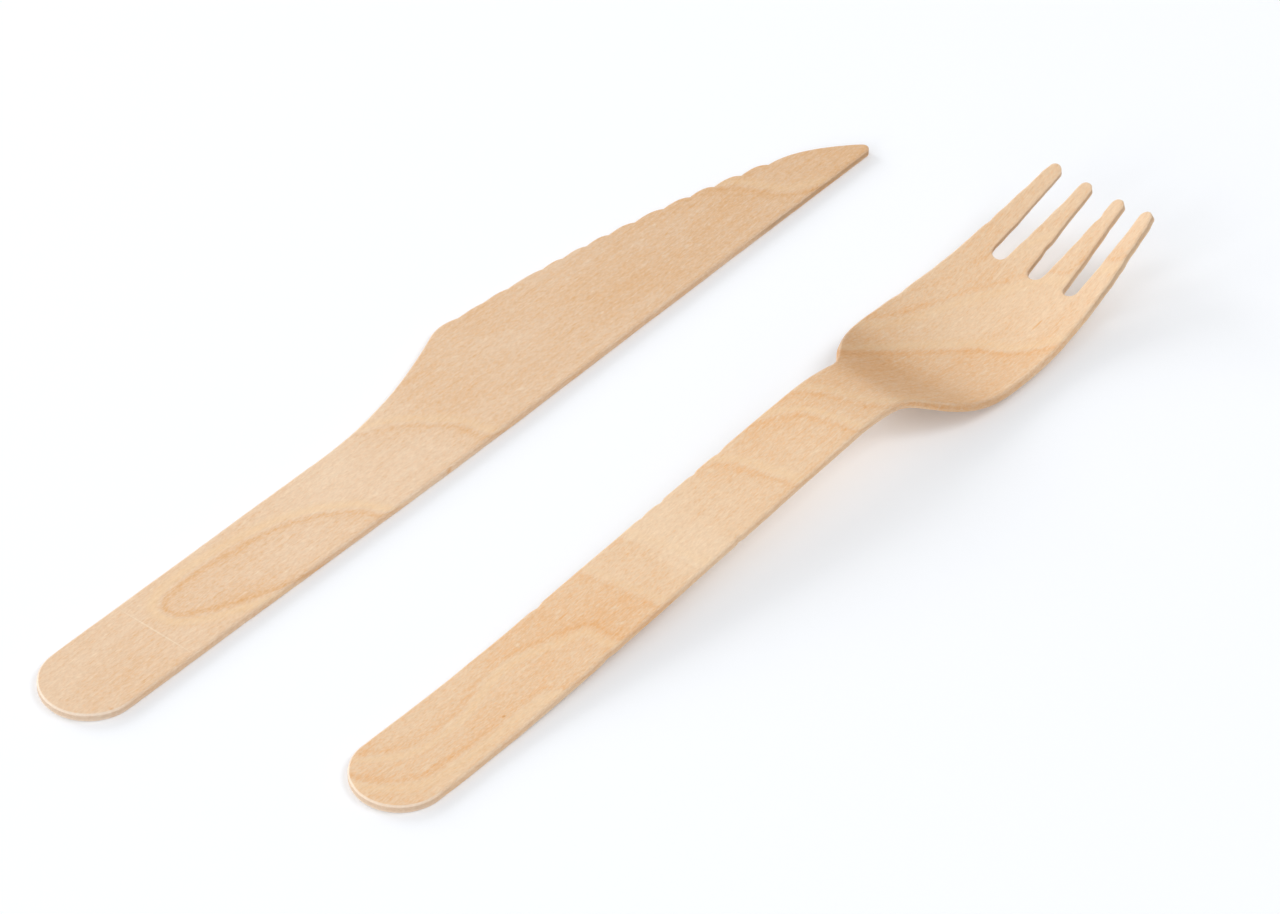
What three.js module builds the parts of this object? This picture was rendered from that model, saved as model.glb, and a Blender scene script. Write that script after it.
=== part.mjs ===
// A wooden knife and fork, the throwaway kind, each stamped from a thin birch sheet.
// The knife stays flat. The fork's blank is pressed into a curved, dished head with raised tines.
// Units are millimetres, +Z is up, and both pieces point along +Y from handle end to tip.
import * as THREE from 'three';

// The birch sheet that both pieces are cut from
const sheetThickness = 1.25;
const edgeRound = 0.35; // tumbling rounds every cut edge by this much

// The knife, measured from its straight back
const knifeHandleLength = 60;
const knifeHandleWidth = 14.6;
const handleNarrowing = 0.2; // the handle is this much slimmer where the blade starts
const flareLength = 30; // the handle's side sweeps out to the blade's shoulder
const bladeWidth = 21.05;
const shoulderLength = 6.2;
const shoulderDrop = 0.65; // how far the side falls away at both ends of the rounded shoulder
const edgeLength = 55.8; // the scalloped stretch, along the knife
const edgeEndWidth = 9.25; // blade width left after the last scallop
const edgeBow = 1.6; // how far the line of the scallops bows outwards
const scallopCount = 12;
const firstScallop = 0.1; // height of the shallowest scallop, next to the shoulder
const lastScallop = 0.5; // height of the deepest, next to the point
const scallopLean = 0.66; // the scallops bulge most this far along, towards the point
const pointLength = 13;
const pointFullness = 5.7; // how far the side runs on before it turns in to the point
const pointTaper = 0.4; // how much it draws in on that run
const pointRadius = 1.1;

// The fork's outline, measured from the handle's end and from its centre line
const forkHandleLength = 102.8;
const forkEndWidth = 14.2;
const neckWidth = 12.8;
const headShoulder = 17; // the head reaches its full width in this length
const neckHold = 4.4; // how far the neck's line runs on before it turns out to the shoulder
const shoulderHold = 11.4; // how far the full width's line runs back before it turns in
const headWidth = 25.9;
const headLength = 54.2;
const sideHold = 14.3; // how far the full width's line runs on before it tapers to the tips
const tipSpan = 18.95; // width over the outer tines at their tips
const slotDepth = 16.5;
const outerSlotOffset = 6.55;
const outerSlotWidth = 2; // at the closed end
const middleSlotWidth = 2.25;
const tineTipWidth = 2.25;
const innerTineOffset = 2.95;
const innerTineLead = 0.35; // the inner tines reach this much further

// The fork's pressed profile
const toeLength = 12; // the handle's end lies flat for this long
const toeBend = 13; // half the length of the gentle bend after it
const handleRise = 6.45; // the neck stands this much above the handle's end
const crestLength = 10; // the neck's rounded crest starts this far before the head
const slopeAt = 5.8; // the steepest point of the fall into the head, past the neck
const slopeDrop = 2.5; // height lost between the crest and that point
const steepness = 0.42;
const bellyAt = 21.9; // the lowest line of the head, past the neck
const tipRise = 7.6; // the tines' tips stand this much above the head's lowest line
const tipSteepness = 0.38;
const dishDepth = 1.45; // the head's middle lies this much below its sides
const dishRun = 14; // the dish deepens over this length
const dishLead = 1; // and starts this far before the head

// Where the fork lies beside the knife
const forkAside = 36.25; // from the knife's back to the fork's centre line
const forkAhead = 14;
const forkTurnDegrees = -0.6;

// How finely round shapes are divided
const curveSteps = 8;
const rimSteps = 2;
const readSteps = 60;
const roundSteps = 4; // round a slot's closed end and round a tine's tip, to each side
const tineSteps = 7;
const tineColumns = 2;
const bendReach = 0.36; // share of a bend's length over which it keeps the slope of its end
const slopeSpan = 0.4; // a slope is measured over this length to each side

const samePoint = 0.0001; // points of the face closer than this are one

// Bare sanded birch
const knifeColour = 0xe9c6a2;
const forkColour = 0xedc59d;
const birchRoughness = 0.75;

function birch(color) {
  return new THREE.MeshStandardMaterial({ color, roughness: birchRoughness, metalness: 0 });
}

// The flat knife

// Where the line of the scallops runs, from the shoulder to the point
function scallopLine() {
  const edgeStart = knifeHandleLength + flareLength + shoulderLength;
  const start = new THREE.Vector2(shoulderDrop - bladeWidth, edgeStart);
  const end = new THREE.Vector2(-edgeEndWidth, start.y + edgeLength);
  const outward = new THREE.Vector2(start.y - end.y, end.x - start.x).normalize();
  const middle = start.clone().add(end).multiplyScalar(0.5);
  return new THREE.QuadraticBezierCurve(start, middle.addScaledVector(outward, 2 * edgeBow), end);
}

// One scallop is a low arch that leans towards the point
function scallopTop(low, high, height) {
  const outward = new THREE.Vector2(low.y - high.y, high.x - low.x).normalize();
  return low.clone().lerp(high, scallopLean).addScaledVector(outward, 2 * height);
}

// The outline starts at the back of the handle's end and goes round by the point
function knifeOutline() {
  const line = scallopLine();
  const edgeEnd = line.getPoint(1);
  const length = edgeEnd.y + pointLength;
  const endRadius = knifeHandleWidth / 2;
  const outline = new THREE.Shape();
  outline.moveTo(0, endRadius);
  outline.lineTo(0, length - pointRadius);
  outline.absarc(-pointRadius, length - pointRadius, pointRadius, 0, 0.75 * Math.PI, false);
  outline.quadraticCurveTo(edgeEnd.x + pointTaper, edgeEnd.y + pointFullness, edgeEnd.x, edgeEnd.y);
  for (let i = scallopCount - 1; i >= 0; i -= 1) {
    const low = line.getPoint(i / scallopCount);
    const high = line.getPoint((i + 1) / scallopCount);
    const height = THREE.MathUtils.lerp(firstScallop, lastScallop, i / (scallopCount - 1));
    const top = scallopTop(low, high, height);
    outline.quadraticCurveTo(top.x, top.y, low.x, low.y);
  }
  const flareEnd = new THREE.Vector2(shoulderDrop - bladeWidth, knifeHandleLength + flareLength);
  const shoulderMiddle = new THREE.Vector2(-bladeWidth - shoulderDrop, flareEnd.y + shoulderLength / 2);
  outline.quadraticCurveTo(shoulderMiddle.x, shoulderMiddle.y, flareEnd.x, flareEnd.y);
  const slimSide = handleNarrowing - knifeHandleWidth;
  outline.quadraticCurveTo(slimSide, knifeHandleLength + flareLength / 2, slimSide, knifeHandleLength);
  outline.lineTo(-knifeHandleWidth, endRadius);
  outline.absarc(-endRadius, endRadius, endRadius, Math.PI, 1.5 * Math.PI, false);
  outline.absarc(-endRadius, endRadius, endRadius, 1.5 * Math.PI, 2 * Math.PI, false);
  return outline;
}

function makeKnife() {
  const geometry = new THREE.ExtrudeGeometry(knifeOutline(), {
    depth: sheetThickness - 2 * edgeRound,
    bevelThickness: edgeRound,
    bevelSize: edgeRound,
    bevelOffset: -edgeRound,
    bevelSegments: rimSteps,
    curveSegments: curveSteps,
  });
  const mesh = new THREE.Mesh(geometry, birch(knifeColour));
  mesh.name = 'knife';
  mesh.position.z = edgeRound;
  return mesh;
}

// The pressed fork's side view

// A curve of points (distance along the fork, value), read by distance
function readAlong(curves) {
  const points = curves.flatMap((curve) => curve.getPoints(readSteps));
  return (distance) => {
    const next = points.findIndex((point) => point.x > distance);
    if (next === 0) return points[0].y;
    if (next < 0) return points.at(-1).y;
    const before = points[next - 1];
    const share = (distance - before.x) / (points[next].x - before.x);
    return THREE.MathUtils.lerp(before.y, points[next].y, share);
  };
}

// A smooth bend between two places, with the slope that it has at each
function bend(x0, y0, slope0, x1, y1, slope1) {
  const reach = (x1 - x0) * bendReach;
  return new THREE.CubicBezierCurve(
    new THREE.Vector2(x0, y0),
    new THREE.Vector2(x0 + reach, y0 + slope0 * reach),
    new THREE.Vector2(x1 - reach, y1 - slope1 * reach),
    new THREE.Vector2(x1, y1),
  );
}

// Height of the sheet's middle layer along the fork's two sides. The head's belly and the handle's
// end both touch the ground, because the dish reaches below the sides.
const tipsAt = forkHandleLength + headLength;
const toeHeight = sheetThickness / 2;
const bellyHeight = toeHeight + dishDepth;
const crestAt = forkHandleLength - crestLength;
const crestHeight = toeHeight + handleRise;
const riseSlope = handleRise / (crestAt - toeLength - toeBend);
const bendEnd = toeLength + 2 * toeBend;
const slopePoint = forkHandleLength + slopeAt;
const bellyPoint = forkHandleLength + bellyAt;
const sideHeight = readAlong([
  new THREE.LineCurve(new THREE.Vector2(0, toeHeight), new THREE.Vector2(toeLength, toeHeight)),
  bend(toeLength, toeHeight, 0, bendEnd, toeHeight + riseSlope * toeBend, riseSlope),
  bend(crestAt, crestHeight, riseSlope, slopePoint, crestHeight - slopeDrop, -steepness),
  bend(slopePoint, crestHeight - slopeDrop, -steepness, bellyPoint, bellyHeight, 0),
  bend(bellyPoint, bellyHeight, 0, tipsAt, bellyHeight + tipRise, tipSteepness),
]);

// The fork's outline

// Half the fork's width from the end of the round handle end to the tips
const forkEndRadius = forkEndWidth / 2;
const fullWidthAt = forkHandleLength + headShoulder;
const neckSide = new THREE.Vector2(forkHandleLength, neckWidth / 2);
const halfWidth = readAlong([
  new THREE.LineCurve(new THREE.Vector2(forkEndRadius, forkEndRadius), neckSide),
  new THREE.CubicBezierCurve(
    neckSide,
    new THREE.Vector2(forkHandleLength + neckHold, neckWidth / 2),
    new THREE.Vector2(fullWidthAt - shoulderHold, headWidth / 2),
    new THREE.Vector2(fullWidthAt, headWidth / 2),
  ),
  new THREE.QuadraticBezierCurve(
    new THREE.Vector2(fullWidthAt, headWidth / 2),
    new THREE.Vector2(fullWidthAt + sideHold, headWidth / 2),
    new THREE.Vector2(tipsAt, tipSpan / 2),
  ),
]);

// The flat face stops short of the cut edge by the rounding
function faceSide(distance) {
  const slope = (halfWidth(distance + slopeSpan) - halfWidth(distance - slopeSpan)) / (2 * slopeSpan);
  const stretch = Math.hypot(1, slope);
  const across = halfWidth(distance) - edgeRound / stretch;
  return new THREE.Vector2(across, distance + (edgeRound * slope) / stretch);
}

function straightSteps(from, to, steps) {
  return new THREE.LineCurve(from, to).getPoints(steps);
}

function arcSteps(x, y, radius, startAngle, endAngle, steps) {
  const clockwise = endAngle < startAngle;
  return new THREE.EllipseCurve(x, y, radius, radius, startAngle, endAngle, clockwise).getPoints(steps);
}

// One side of a tine's face: round the slot's closed end, along the tine, and round to its tip
function tineFlank(slotX, slotWidth, slotEnd, tipX, tipEnd, side) {
  const slotRadius = slotWidth / 2 + edgeRound;
  const slotCentre = slotEnd + slotWidth / 2;
  const tipRadius = tineTipWidth / 2 - edgeRound;
  const tipCentre = tipEnd - tineTipWidth / 2;
  const down = -Math.PI / 2;
  const outer = side > 0 ? 0 : -Math.PI;
  const closedEnd = arcSteps(slotX, slotCentre, slotRadius, down, outer, roundSteps);
  const startAngle = side > 0 ? Math.PI : 0;
  const tip = arcSteps(tipX, tipCentre, tipRadius, startAngle, Math.PI / 2, roundSteps);
  const length = straightSteps(closedEnd.at(-1), tip[0], tineSteps);
  return [...closedEnd, ...length.slice(1), ...tip.slice(1)];
}

// The outer side of an outer tine, level with the steps of its inner flank
function outerFlank(innerFlank, tipX, tipEnd) {
  const tipRadius = tineTipWidth / 2 - edgeRound;
  const tip = arcSteps(tipX, tipEnd - tineTipWidth / 2, tipRadius, 0, Math.PI / 2, roundSteps);
  const level = innerFlank.slice(0, innerFlank.length - roundSteps - 1);
  return [...level.map((point) => faceSide(point.y)), ...tip];
}

function rowsBetween(left, right, columns) {
  return left.map((point, i) => straightSteps(point, right[i], columns));
}

// The right half of the face, as rows of points that run across it
function halfFace() {
  const slotEnd = tipsAt - slotDepth;
  const innerTip = tipsAt + innerTineLead;
  const outerTineOffset = (tipSpan - tineTipWidth) / 2;
  const middleFlank = tineFlank(0, middleSlotWidth, slotEnd, innerTineOffset, innerTip, 1);
  const betweenFlank = tineFlank(outerSlotOffset, outerSlotWidth, slotEnd, innerTineOffset, innerTip, -1);
  const outerInside = tineFlank(outerSlotOffset, outerSlotWidth, slotEnd, outerTineOffset, tipsAt, 1);
  const outerOutside = outerFlank(outerInside, outerTineOffset, tipsAt);
  const innerTine = rowsBetween(middleFlank, betweenFlank, tineColumns);
  const outerTine = rowsBetween(outerInside, outerOutside, tineColumns);
  const lastRow = [...innerTine[0], ...outerTine[0].slice(1)];
  // Each row of the body repeats the spacing of the row at the slots' closed ends
  const shares = lastRow.map((point) => point.x / lastRow.at(-1).x);
  const endFace = forkEndRadius - edgeRound;
  const sides = arcSteps(0, forkEndRadius, endFace, -Math.PI / 2, 0, 2 * curveSteps);
  bodyDistances().forEach((distance) => sides.push(faceSide(distance)));
  const body = sides.map((side) => shares.map((share) => new THREE.Vector2(side.x * share, side.y)));
  return [[...body, lastRow], innerTine, outerTine];
}

// Rows across the body, each stretch with its own spacing: closer where the sheet bends more
function bodyDistances() {
  const lastStraightRow = tipsAt - slotDepth - outerSlotWidth;
  const stretches = [
    { from: forkEndRadius, to: toeLength, steps: 1 },
    { from: toeLength, to: bendEnd, steps: 5 },
    { from: bendEnd, to: crestAt, steps: 4 },
    { from: crestAt, to: forkHandleLength, steps: 6 },
    { from: forkHandleLength, to: fullWidthAt, steps: 16 },
    { from: fullWidthAt, to: lastStraightRow, steps: 9 },
  ];
  return stretches.flatMap(({ from, to, steps }) => {
    const distances = [];
    for (let i = 1; i <= steps; i += 1) distances.push(from + ((to - from) * i) / steps);
    return distances;
  });
}

// Height of the sheet's middle layer anywhere on the fork: the dish is deepest on the centre line
function middleHeight(x, distance) {
  const dishStart = forkHandleLength - dishLead;
  const dish = dishDepth * THREE.MathUtils.smoothstep(distance, dishStart, dishStart + dishRun);
  if (dish === 0) return sideHeight(distance);
  const share = x / halfWidth(distance);
  return sideHeight(distance) - dish * (1 - share * share);
}

// Presses a point of the flat blank into shape, lift being its height above the middle layer
function press(x, distance, lift) {
  const across = middleHeight(x + slopeSpan, distance) - middleHeight(x - slopeSpan, distance);
  const along = middleHeight(x, distance + slopeSpan) - middleHeight(x, distance - slopeSpan);
  const slopeX = across / (2 * slopeSpan);
  const slopeY = along / (2 * slopeSpan);
  const up = new THREE.Vector3(-slopeX, -slopeY, 1).normalize();
  return new THREE.Vector3(x, distance, middleHeight(x, distance)).addScaledVector(up, lift);
}

// Turns rows of points into the triangles of the flat face, with each point stored once
function faceMesh(patches) {
  const points = [];
  const known = new Map();
  const triangles = [];
  const index = (x, y) => {
    const key = `${Math.round(x / samePoint)} ${Math.round(y / samePoint)}`;
    if (!known.has(key)) {
      known.set(key, points.length);
      points.push(new THREE.Vector2(x, y));
    }
    return known.get(key);
  };
  const addTriangle = (a, b, c, mirror) => {
    const corners = (mirror < 0 ? [a, c, b] : [a, b, c]).map((p) => index(mirror * p.x, p.y));
    if (new Set(corners).size === 3) triangles.push(corners);
  };
  for (const mirror of [1, -1]) {
    for (const rows of patches) {
      for (let i = 1; i < rows.length; i += 1) {
        for (let j = 1; j < rows[i].length; j += 1) {
          addTriangle(rows[i - 1][j - 1], rows[i - 1][j], rows[i][j], mirror);
          addTriangle(rows[i - 1][j - 1], rows[i][j], rows[i][j - 1], mirror);
        }
      }
    }
  }
  return { points, triangles };
}

// The points round the face's rim in order, each with its direction outwards
function faceRim({ points, triangles }) {
  const edges = new Set();
  triangles.forEach(([a, b, c]) => [[a, b], [b, c], [c, a]].forEach((edge) => edges.add(edge.join(' '))));
  const next = new Map();
  edges.forEach((edge) => {
    const [a, b] = edge.split(' ').map(Number);
    if (!edges.has(`${b} ${a}`)) next.set(a, b);
  });
  const order = [next.keys().next().value];
  while (next.get(order.at(-1)) !== order[0]) order.push(next.get(order.at(-1)));
  return order.map((at, i) => {
    const before = points[order.at(i - 1)];
    const after = points[order[(i + 1) % order.length]];
    const here = points[at];
    const sideA = new THREE.Vector2(here.y - before.y, before.x - here.x).normalize();
    const sideB = new THREE.Vector2(after.y - here.y, here.x - after.x).normalize();
    const outward = sideA.clone().add(sideB).normalize();
    return { at, here, outward: outward.divideScalar(outward.dot(sideA)) };
  });
}

// Steps from the top face's rim over the rounded edge and down to the bottom face's rim
function rimProfile() {
  const profile = [];
  for (let i = 0; i <= rimSteps; i += 1) {
    const angle = (Math.PI / 2) * (i / rimSteps);
    profile.push({ out: edgeRound * Math.sin(angle), lift: toeHeight - edgeRound * (1 - Math.cos(angle)) });
  }
  const lower = profile.map(({ out, lift }) => ({ out, lift: -lift })).reverse();
  return [...profile, ...lower];
}

function makeFork() {
  const face = faceMesh(halfFace());
  const rim = faceRim(face);
  const count = face.points.length;
  const vertices = [];
  for (const lift of [toeHeight, -toeHeight]) {
    face.points.forEach((point) => vertices.push(press(point.x, point.y, lift)));
  }
  const triangles = [];
  face.triangles.forEach(([a, b, c]) => triangles.push([a, b, c], [a + count, c + count, b + count]));
  const profile = rimProfile();
  const rings = profile.map(({ out, lift }, step) => {
    if (step === 0) return rim.map(({ at }) => at);
    if (step === profile.length - 1) return rim.map(({ at }) => at + count);
    return rim.map(({ here, outward }) => {
      vertices.push(press(here.x + outward.x * out, here.y + outward.y * out, lift));
      return vertices.length - 1;
    });
  });
  for (let step = 1; step < rings.length; step += 1) {
    for (let i = 0; i < rim.length; i += 1) {
      const j = (i + 1) % rim.length;
      const [upper, lower] = [rings[step - 1], rings[step]];
      triangles.push([upper[i], lower[i], lower[j]], [upper[i], lower[j], upper[j]]);
    }
  }
  const geometry = new THREE.BufferGeometry();
  geometry.setFromPoints(vertices);
  geometry.setIndex(triangles.flat());
  geometry.computeVertexNormals();
  const mesh = new THREE.Mesh(geometry, birch(forkColour));
  mesh.name = 'fork';
  mesh.position.set(forkAside, forkAhead, 0);
  mesh.rotation.z = THREE.MathUtils.degToRad(forkTurnDegrees);
  return mesh;
}

// The pair, centred over the origin

function makeSet() {
  const pieces = new THREE.Group();
  pieces.add(makeKnife(), makeFork());
  const box = new THREE.Box3().setFromObject(pieces, true);
  const centre = box.getCenter(new THREE.Vector3());
  pieces.position.set(-centre.x, -centre.y, -box.min.z);
  const cutlery = new THREE.Group();
  cutlery.name = 'wooden_cutlery_set';
  cutlery.add(pieces);
  return cutlery;
}

const group = makeSet();
export default group;
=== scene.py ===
import math

import bpy
import numpy as np
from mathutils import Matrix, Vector, kdtree, noise
from mathutils.geometry import delaunay_2d_cdt


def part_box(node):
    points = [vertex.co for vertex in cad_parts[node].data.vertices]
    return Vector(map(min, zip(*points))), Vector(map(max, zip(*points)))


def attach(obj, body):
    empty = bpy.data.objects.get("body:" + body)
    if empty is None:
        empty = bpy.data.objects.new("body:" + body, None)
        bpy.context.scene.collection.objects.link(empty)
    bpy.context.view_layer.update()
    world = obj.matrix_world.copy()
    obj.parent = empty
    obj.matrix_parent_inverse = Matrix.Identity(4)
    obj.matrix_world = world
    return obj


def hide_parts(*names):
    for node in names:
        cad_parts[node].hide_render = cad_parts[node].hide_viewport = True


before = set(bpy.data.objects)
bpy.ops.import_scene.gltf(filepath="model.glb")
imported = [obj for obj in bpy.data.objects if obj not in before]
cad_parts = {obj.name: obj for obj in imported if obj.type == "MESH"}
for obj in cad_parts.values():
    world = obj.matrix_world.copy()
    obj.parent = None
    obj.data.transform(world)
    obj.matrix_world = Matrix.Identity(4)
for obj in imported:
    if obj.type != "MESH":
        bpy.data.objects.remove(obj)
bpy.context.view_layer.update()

# The throwaway wooden knife and fork of the CAD frame, as finer meshes with birch's own figure.
# Sizes are in millimetres, as in the CAD source. A blank is the flat piece before pressing: x runs
# across it and y along the grain, from the handle's end. Lift is the height over its middle layer.
MM = 0.001
SHEET = 1.25
TOP_ROUND = 0.34
BOTTOM_ROUND = 0.25
HALF_SHEET = SHEET / 2

# The knife's blank, from the line of its back
KNIFE_HANDLE_LENGTH = 60
KNIFE_HANDLE_WIDTH = 14.6
HANDLE_NARROWING = 0.2
FLARE_LENGTH = 30
BLADE_WIDTH = 21.05
SHOULDER_LENGTH = 6.2
SHOULDER_DROP = 0.65
EDGE_LENGTH = 55.8
EDGE_END_WIDTH = 9.25
EDGE_BOW = 1.6
SCALLOPS = 12
FIRST_SCALLOP = 0.18
LAST_SCALLOP = 0.58
SCALLOP_LEAN = 0.7
SCALLOP_SHIFTS = [0, 0, 0, 0.4, 0.2, 0.13, 0, 0, 0.1, 0.1, 0, 0, 0]
POINT_LENGTH = 13
POINT_FULLNESS = 5.7
POINT_TAPER = 0.4
POINT_RADIUS = 1.1
KNIFE_LENGTH = KNIFE_HANDLE_LENGTH + FLARE_LENGTH + SHOULDER_LENGTH + EDGE_LENGTH + POINT_LENGTH

# The fork's blank, from its centre line
FORK_HANDLE_LENGTH = 102.8
FORK_END_WIDTH = 14.2
NECK_WIDTH = 12.8
HEAD_SHOULDER = 17
NECK_HOLD = 4.4
SHOULDER_HOLD = 11.4
HEAD_WIDTH = 25.9
HEAD_LENGTH = 54.2
SIDE_HOLD = 14.3
TIP_SPAN = 18.95
SLOT_DEPTH = 16.5
OUTER_SLOT = 6.55
OUTER_SLOT_WIDTH = 2
MIDDLE_SLOT_WIDTH = 2.25
TIP_RADIUS = 1.125
INNER_TINE = 2.95
INNER_LEAD = 0.35
TIPS_AT = FORK_HANDLE_LENGTH + HEAD_LENGTH

# The fork's pressed profile
TOE_LENGTH = 12
TOE_BEND = 13
HANDLE_RISE = 6.45
CREST_LENGTH = 10
SLOPE_AT = 5.8
SLOPE_DROP = 2.5
STEEPNESS = 0.42
BELLY_AT = 21.9
TIP_RISE = 7.6
TIP_STEEPNESS = 0.38
BEND_HOLD = 0.36
DISH_DEPTH = 1.45
DISH_RUN = 14
DISH_LEAD = 1

# Where the fork's blank lies beside the knife's, and how far it is turned, in degrees
FORK_ASIDE = 36.25
FORK_AHEAD = 14
FORK_TURN = -0.6

# How fine the curves and meshes are
ARC_POINTS = 49
CURVE_POINTS = 61
OUTLINE_STEP = 0.34
GRID_STEP = 0.42
CLEAR_OF_RIM = 0.6
SAME_POINT = 1e-5
SLOPE_SPAN = 0.4
ROUND_STEPS = 6
WALL_STEPS = 3


# Curves, as rows of points
def straight(start, end):
    return np.array([start, end], float)


def arc(x, y, radius, start, end):
    angles = np.radians(np.linspace(start, end, ARC_POINTS))
    return np.stack([x + radius * np.cos(angles), y + radius * np.sin(angles)], 1)


def bezier(*points):
    """A quadratic curve through 3 control points, or a cubic one through 4."""
    share = np.linspace(0, 1, CURVE_POINTS)[:, None]
    rows = [np.repeat(np.array([p], float), len(share), 0) for p in points]
    while len(rows) > 1:
        rows = [a + (b - a) * share for a, b in zip(rows, rows[1:])]
    return rows[0]


def spaced(curve, step):
    """Even steps along a curve, without its last point."""
    lengths = np.concatenate([[0], np.cumsum(np.hypot(*np.diff(curve, axis=0).T))])
    count = max(2, round(lengths[-1] / step))
    at = np.linspace(0, lengths[-1], count + 1)[:-1]
    return np.stack([np.interp(at, lengths, curve[:, i]) for i in (0, 1)], 1)


# The knife's outline
def scalloped_edge():
    """The scallops from the point back to the shoulder."""
    shoulder_end = KNIFE_HANDLE_LENGTH + FLARE_LENGTH + SHOULDER_LENGTH
    edge_start = np.array([SHOULDER_DROP - BLADE_WIDTH, shoulder_end])
    edge_end = np.array([-EDGE_END_WIDTH, shoulder_end + EDGE_LENGTH])
    bulge = (edge_start + edge_end) / 2 + 2 * EDGE_BOW * outward_from(edge_start, edge_end)
    share = (np.arange(SCALLOPS + 1) + SCALLOP_SHIFTS)[:, None] / SCALLOPS
    valleys = (1 - share) ** 2 * edge_start + 2 * share * (1 - share) * bulge + share ** 2 * edge_end
    humps = []
    for i in range(SCALLOPS - 1, -1, -1):
        low, high = valleys[i], valleys[i + 1]
        height = FIRST_SCALLOP + (LAST_SCALLOP - FIRST_SCALLOP) * i / (SCALLOPS - 1)
        top = low + (high - low) * SCALLOP_LEAN + 2 * height * outward_from(low, high)
        humps.append(bezier(high, top, low))
    return humps


def outward_from(low, high):
    direction = np.array([low[1] - high[1], high[0] - low[0]])
    return direction / np.hypot(*direction)


def knife_outline():
    edge = scalloped_edge()
    edge_end = edge[0][0]
    edge_start = edge[-1][-1]
    radius = KNIFE_HANDLE_WIDTH / 2
    length = edge_end[1] + POINT_LENGTH
    point = arc(-POINT_RADIUS, length - POINT_RADIUS, POINT_RADIUS, 0, 135)
    point_side = (edge_end[0] + POINT_TAPER, edge_end[1] + POINT_FULLNESS)
    flare_end = (SHOULDER_DROP - BLADE_WIDTH, KNIFE_HANDLE_LENGTH + FLARE_LENGTH)
    shoulder = (-BLADE_WIDTH - SHOULDER_DROP, flare_end[1] + SHOULDER_LENGTH / 2)
    slim_side = HANDLE_NARROWING - KNIFE_HANDLE_WIDTH
    flare_middle = (slim_side, KNIFE_HANDLE_LENGTH + FLARE_LENGTH / 2)
    return [
        straight((0, radius), (0, length - POINT_RADIUS)),
        point,
        bezier(point[-1], point_side, edge_end),
        *edge,
        bezier(edge_start, shoulder, flare_end),
        bezier(flare_end, flare_middle, (slim_side, KNIFE_HANDLE_LENGTH)),
        straight((slim_side, KNIFE_HANDLE_LENGTH), (-KNIFE_HANDLE_WIDTH, radius)),
        arc(-radius, radius, radius, 180, 360),
    ]


# The fork's outline
def fork_side():
    """The fork's right side, as (distance along, half the width), from the round end to the tips."""
    full_at = FORK_HANDLE_LENGTH + HEAD_SHOULDER
    radius = FORK_END_WIDTH / 2
    neck = (FORK_HANDLE_LENGTH, NECK_WIDTH / 2)
    full = (full_at, HEAD_WIDTH / 2)
    neck_out = (FORK_HANDLE_LENGTH + NECK_HOLD, NECK_WIDTH / 2)
    full_in = (full_at - SHOULDER_HOLD, HEAD_WIDTH / 2)
    full_out = (full_at + SIDE_HOLD, HEAD_WIDTH / 2)
    return np.vstack([
        straight((radius, radius), neck),
        bezier(neck, neck_out, full_in, full),
        bezier(full, full_out, (TIPS_AT, TIP_SPAN / 2)),
    ])


FORK_SIDE = fork_side()


def half_width(distance):
    return np.interp(distance, FORK_SIDE[:, 0], FORK_SIDE[:, 1])


def slot_end(x, width, start, end):
    return arc(x, TIPS_AT - SLOT_DEPTH + width / 2, width / 2, start, end)


def fork_outline():
    outer_tine = TIP_SPAN / 2 - TIP_RADIUS
    side = FORK_SIDE[FORK_SIDE[:, 0] < TIPS_AT - 2 * TIP_RADIUS][:, ::-1]
    outer_tip = arc(outer_tine, TIPS_AT - TIP_RADIUS, TIP_RADIUS, 0, 180)
    inner_tip = arc(INNER_TINE, TIPS_AT + INNER_LEAD - TIP_RADIUS, TIP_RADIUS, 0, 180)
    outer_slot = slot_end(OUTER_SLOT, OUTER_SLOT_WIDTH, 0, -180)
    middle_slot = slot_end(0, MIDDLE_SLOT_WIDTH, 0, -90)
    radius = FORK_END_WIDTH / 2
    right = [
        arc(0, radius, radius, -90, 0),
        side,
        straight(side[-1], outer_tip[0]),
        outer_tip,
        straight(outer_tip[-1], outer_slot[0]),
        outer_slot,
        straight(outer_slot[-1], inner_tip[0]),
        inner_tip,
        straight(inner_tip[-1], middle_slot[0]),
        middle_slot,
    ]
    left = [curve[::-1] * (-1, 1) for curve in reversed(right)]
    return right + left


# The fork's pressing
def profile_bend(x0, y0, slope0, x1, y1, slope1):
    reach = (x1 - x0) * BEND_HOLD
    leaving = (x0 + reach, y0 + slope0 * reach)
    arriving = (x1 - reach, y1 - slope1 * reach)
    return bezier((x0, y0), leaving, arriving, (x1, y1))


def fork_profile():
    """Heights of the middle layer along the fork's sides."""
    belly = HALF_SHEET + DISH_DEPTH
    crest_at = FORK_HANDLE_LENGTH - CREST_LENGTH
    crest = HALF_SHEET + HANDLE_RISE
    rise = HANDLE_RISE / (crest_at - TOE_LENGTH - TOE_BEND)
    bend_end = TOE_LENGTH + 2 * TOE_BEND
    slope_point = FORK_HANDLE_LENGTH + SLOPE_AT
    belly_point = FORK_HANDLE_LENGTH + BELLY_AT
    return np.vstack([
        straight((0, HALF_SHEET), (TOE_LENGTH, HALF_SHEET)),
        profile_bend(TOE_LENGTH, HALF_SHEET, 0, bend_end, HALF_SHEET + rise * TOE_BEND, rise),
        profile_bend(crest_at, crest, rise, slope_point, crest - SLOPE_DROP, -STEEPNESS),
        profile_bend(slope_point, crest - SLOPE_DROP, -STEEPNESS, belly_point, belly, 0),
        profile_bend(belly_point, belly, 0, TIPS_AT, belly + TIP_RISE, TIP_STEEPNESS),
    ])


FORK_PROFILE = fork_profile()


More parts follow.
